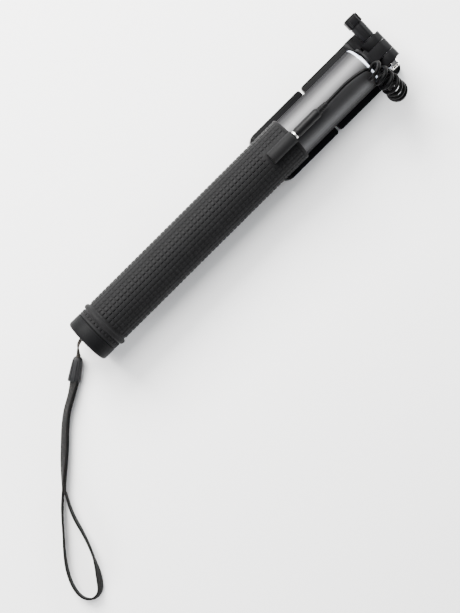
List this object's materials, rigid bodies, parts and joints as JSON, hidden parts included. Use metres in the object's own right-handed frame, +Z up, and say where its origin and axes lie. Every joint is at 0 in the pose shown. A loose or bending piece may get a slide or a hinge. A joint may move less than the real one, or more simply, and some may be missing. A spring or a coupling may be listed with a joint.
{
  "type": "selfie stick",
  "caption": "Telescopic selfie stick with a waffle rubber grip, sprung folding phone holder, thumb knob, curly audio lead with plug, and wrist strap.",
  "frame": {"origin": "middle of the stick's own box (without the strap and lead) on the surface that it lies on", "axes": "+X along the stick from the end cap to the hinge, +Y towards the thumb knob, +Z up from the surface"},
  "size_m": [0.2854, 0.1104, 0.037],
  "materials": {
    "grip_rubber": "moulded waffle texture, semi-matt",
    "cap_plastic": "smooth, slightly greyed black",
    "satin_steel": "satin tube with a polished rim",
    "black_plastic": "smooth moulded black",
    "matt_black": "fine moulded texture",
    "soft_pad": "soft ribbed pad",
    "nickel": "bright nickel plate",
    "rod_steel": "ground steel",
    "nylon": "natural nylon",
    "button_plastic": "satin moulded",
    "board": "circuit board",
    "switch": "switch housing",
    "cable_jacket": "smooth vinyl",
    "strap_weave": "flat woven tape",
    "strap_string": "twisted cord",
    "clasp_plastic": "dark blue-grey moulding"
  },
  "bodies": {
    "handle": {"end_cap": "cap_plastic", "handle_tube": "satin_steel", "grip_sleeve": "grip_rubber", "jack_holster": "grip_rubber", "wire_coil": "cable_jacket", "button_bezel": "matt_black", "switch_board": "board", "tact_switch": "switch", "strap_string": "strap_string", "strap_clasp": "clasp_plastic", "strap_stem": "strap_weave", "strap_loop": "strap_weave"},
    "button": {"shutter_button": "button_plastic"},
    "section_1": {"section_tube_1": "satin_steel", "section_bush_1": "nylon"},
    "section_2": {"section_tube_2": "satin_steel", "section_bush_2": "nylon"},
    "section_3": {"section_tube_3": "satin_steel", "section_bush_3": "nylon"},
    "section_4": {"section_tube_4": "satin_steel", "section_bush_4": "nylon"},
    "section_5": {"section_tube_5": "satin_steel", "section_bush_5": "nylon", "inner_wire": "cable_jacket", "neck": "black_plastic", "lead_grommet": "matt_black", "lead_to_coil": "cable_jacket", "curly_cord": "cable_jacket", "lead_to_plug": "cable_jacket", "plug_boot": "matt_black", "plug_body": "matt_black", "plug_collar": "nickel", "jack_pin": "nickel"},
    "holder": {"clamp_base": "black_plastic", "clamp_cover": "matt_black", "cover_screws": "rod_steel", "fixed_pad": "soft_pad", "hinge_washers": "matt_black", "hinge_nut": "nickel", "clamp_springs": "rod_steel"},
    "jaw": {"jaw_plate": "black_plastic", "jaw_cover": "matt_black", "jaw_pad": "soft_pad", "guide_rods": "rod_steel"},
    "knob": {"thumb_knob": "matt_black", "hinge_bolt": "rod_steel"}
  },
  "joints": [
    {"name": "section_slide_1", "type": "slide", "parent": "handle", "child": "section_1", "axis": [1, 0, 0], "range_m": [0, 0.12]},
    {"name": "section_slide_2", "type": "slide", "parent": "section_1", "child": "section_2", "axis": [1, 0, 0], "range_m": [0, 0.12]},
    {"name": "section_slide_3", "type": "slide", "parent": "section_2", "child": "section_3", "axis": [1, 0, 0], "range_m": [0, 0.12]},
    {"name": "section_slide_4", "type": "slide", "parent": "section_3", "child": "section_4", "axis": [1, 0, 0], "range_m": [0, 0.12]},
    {"name": "section_slide_5", "type": "slide", "parent": "section_4", "child": "section_5", "axis": [1, 0, 0], "range_m": [0, 0.12]},
    {"name": "holder_tilt", "type": "hinge", "parent": "section_5", "child": "holder", "pos_m": [0.0929, -0.00347, 0.0155], "axis": [0, -1, 0], "range_deg": [0, 180]},
    {"name": "jaw_slide", "type": "slide", "parent": "holder", "child": "jaw", "axis": [-1, 0, 0], "range_m": [0, 0.025], "stiffness_N_per_m": 160, "springref_m": -0.015, "deforming": ["clamp_springs"]},
    {"name": "knob_turn", "type": "hinge", "parent": "holder", "child": "knob", "pos_m": [0.0929, -0.00347, 0.0155], "axis": [0, 1, 0], "continuous": true},
    {"name": "button_press", "type": "slide", "parent": "handle", "child": "button", "axis": [0, 0, 1], "range_m": [0, 0.0004], "stiffness_N_per_m": 3000, "springref_m": -0.0001}
  ]
}
